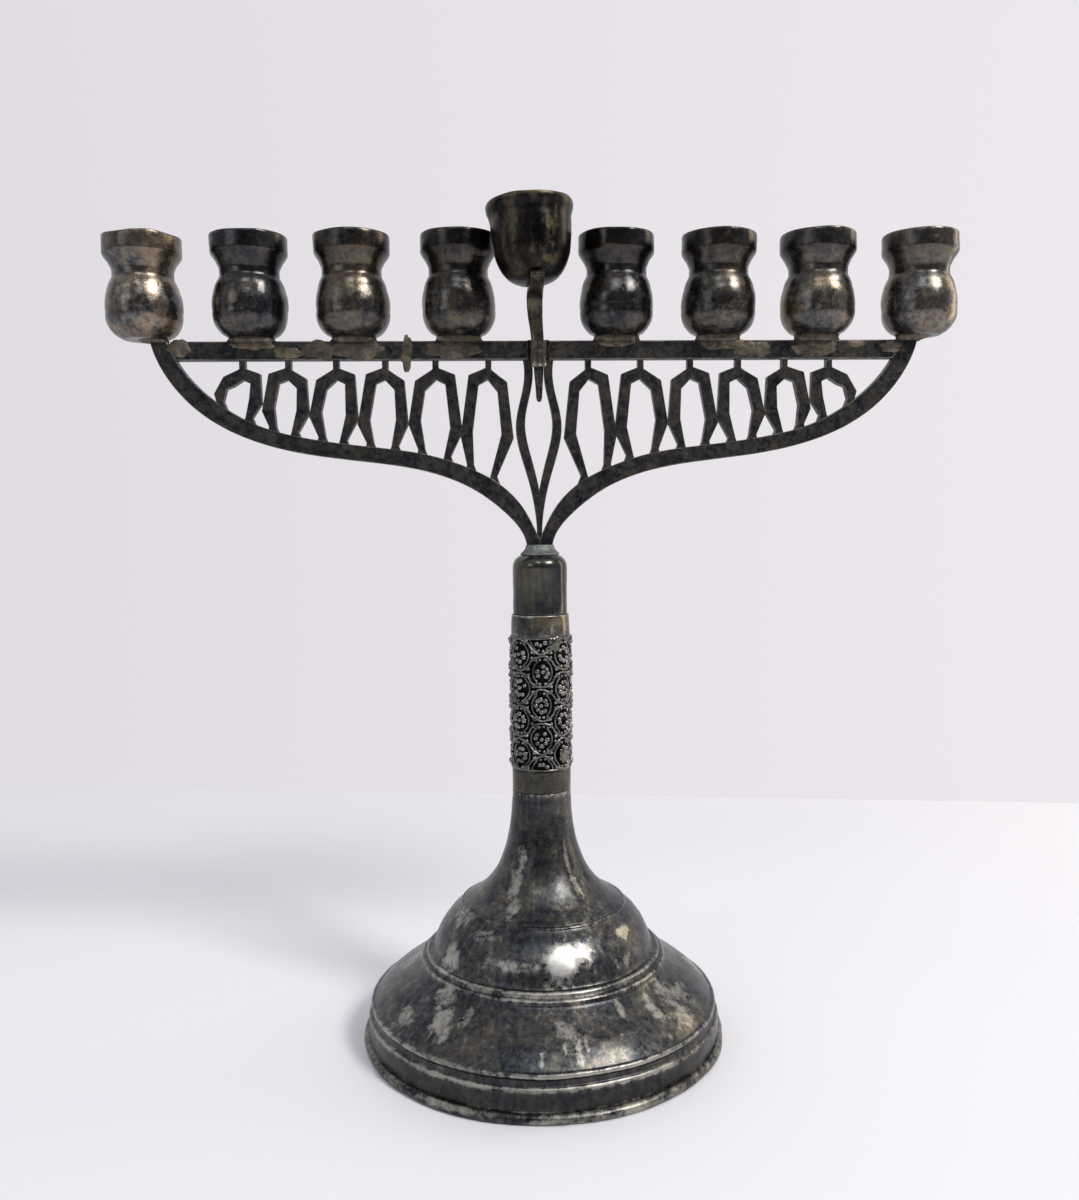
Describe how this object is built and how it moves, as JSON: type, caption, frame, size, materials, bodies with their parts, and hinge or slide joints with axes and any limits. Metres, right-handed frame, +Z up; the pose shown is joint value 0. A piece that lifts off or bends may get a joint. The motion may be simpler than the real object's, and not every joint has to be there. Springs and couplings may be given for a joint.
{
  "type": "menorah",
  "caption": "Menorah on a stepped spun foot: filigree column, pierced bowed frame with a rail of candle cups, and a raised servant cup on a strip that lifts out of its socket.",
  "frame": {"origin": "centre of the circle that the foot stands on, on its rest plane", "axes": "+Z up, X along the rail with the left end at -X as seen from the front, -Y the front, where the raised cup and its socket are"},
  "size_m": [0.2472, 0.1102, 0.2459],
  "materials": {
    "tarnished_silver": "heavily tarnished silver, semi-gloss",
    "filigree": "tarnished silver wire with brighter beads",
    "solder": "dull tan solder",
    "dark_core": "blackened",
    "brass_fitting": "dull, oxidised",
    "steel_rod": "dull"
  },
  "bodies": {
    "stand": {"foot_rim_wire": "tarnished_silver", "foot_shell": "tarnished_silver", "lower_collar": "tarnished_silver", "core_tube": "dark_core", "upper_collar": "tarnished_silver", "cap_tube": "tarnished_silver", "neck_ferrule": "solder", "tie_rod": "steel_rod", "lower_bush": "brass_fitting", "upper_bush": "brass_fitting", "clamp_plate": "brass_fitting", "clamp_nut": "steel_rod", "filigree_sleeve": "filigree", "right_arm": "tarnished_silver", "left_arm": "tarnished_silver", "top_rail": "tarnished_silver", "fretwork_right": "tarnished_silver", "fretwork_left": "tarnished_silver", "fretwork_flame": "tarnished_silver", "cup_seat_1": "solder", "cup_seat_2": "solder", "cup_seat_3": "solder", "cup_seat_4": "solder", "cup_seat_5": "solder", "cup_seat_6": "solder", "cup_seat_7": "solder", "cup_seat_8": "solder", "candle_cup_1": "tarnished_silver", "candle_cup_2": "tarnished_silver", "candle_cup_3": "tarnished_silver", "candle_cup_4": "tarnished_silver", "candle_cup_5": "tarnished_silver", "candle_cup_6": "tarnished_silver", "candle_cup_7": "tarnished_silver", "candle_cup_8": "tarnished_silver", "shamash_socket": "tarnished_silver", "socket_back_plate": "tarnished_silver"},
    "shamash": {"shamash_cup": "tarnished_silver", "shamash_strip": "tarnished_silver"}
  },
  "joints": [
    {"name": "shamash_lift", "type": "slide", "parent": "stand", "child": "shamash", "axis": [0, 0, 1], "range_m": [0, 0.04]}
  ]
}
